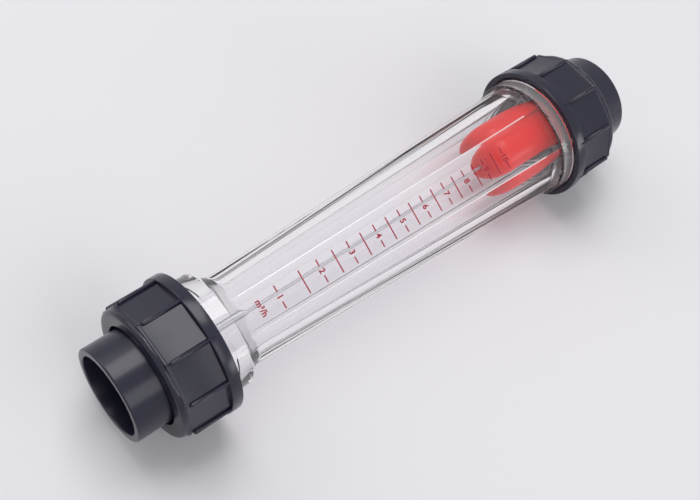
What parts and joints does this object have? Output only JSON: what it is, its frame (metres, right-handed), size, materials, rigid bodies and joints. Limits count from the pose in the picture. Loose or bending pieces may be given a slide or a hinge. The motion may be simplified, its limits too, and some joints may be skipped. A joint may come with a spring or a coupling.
{
  "type": "rotameter",
  "caption": "In-line variable-area flow meter: clear tapered tube with a red float on a guide rod and a union connector at each end.",
  "frame": {"origin": "on the resting plane under the middle of the meter, which lies on one rib of each union nut", "axes": "+X along the flow axis from the inlet mouth to the outlet mouth, +Z up; installed in a pipe the meter stands with +X upwards"},
  "size_m": [0.482, 0.1114, 0.1113],
  "materials": {
    "clear_tube": "clear moulded acrylic, polished, faintly pink-grey, printed scale on one flat",
    "dark_upvc": "slate-grey moulded uPVC, satin",
    "red_float": "bright red moulded plastic, glossy",
    "steel": "drawn stainless steel",
    "pale_plastic": "grey-blue moulded plastic",
    "bush_white": "white low-friction plastic",
    "seal_rubber": "black rubber"
  },
  "bodies": {
    "meter_tube": {"metering_tube": "clear_tube", "guide_rod": "steel", "inlet_rod_support": "pale_plastic", "outlet_rod_support": "pale_plastic", "inlet_rod_washer": "steel", "outlet_rod_washer": "steel", "inlet_rod_nut": "steel", "outlet_rod_nut": "steel", "inlet_stop_sleeve": "steel", "outlet_stop_sleeve": "steel"},
    "float": {"float_shell": "red_float", "float_ballast": "steel", "float_cap": "red_float", "float_nose_bush": "bush_white", "float_tail_bush": "bush_white"},
    "inlet_tailpiece": {"inlet_connector": "dark_upvc", "inlet_o_ring": "seal_rubber"},
    "outlet_tailpiece": {"outlet_connector": "dark_upvc", "outlet_o_ring": "seal_rubber"},
    "inlet_nut": {"inlet_union_nut": "dark_upvc"},
    "outlet_nut": {"outlet_union_nut": "dark_upvc"}
  },
  "joints": [
    {"name": "float_travel", "type": "slide", "parent": "meter_tube", "child": "float", "axis": [1, 0, 0], "range_m": [-0.235, 0]},
    {"name": "inlet_tailpiece_slide", "type": "slide", "parent": "meter_tube", "child": "inlet_tailpiece", "axis": [-1, 0, 0], "range_m": [0, 0.025]},
    {"name": "inlet_nut_turn", "type": "hinge", "parent": "inlet_tailpiece", "child": "inlet_nut", "pos_m": [-0.19, 0, 0.05565], "axis": [-1, 0, 0], "range_deg": [0, 1800]},
    {"name": "outlet_tailpiece_slide", "type": "slide", "parent": "meter_tube", "child": "outlet_tailpiece", "axis": [1, 0, 0], "range_m": [0, 0.025]},
    {"name": "outlet_nut_turn", "type": "hinge", "parent": "outlet_tailpiece", "child": "outlet_nut", "pos_m": [0.19, 0, 0.05565], "axis": [1, 0, 0], "range_deg": [0, 1800]}
  ],
  "couplings": [
    {"joint": "inlet_tailpiece_slide", "follows": "inlet_nut_turn", "m_per_rad": 0.00079577},
    {"joint": "outlet_tailpiece_slide", "follows": "outlet_nut_turn", "m_per_rad": 0.00079577}
  ]
}
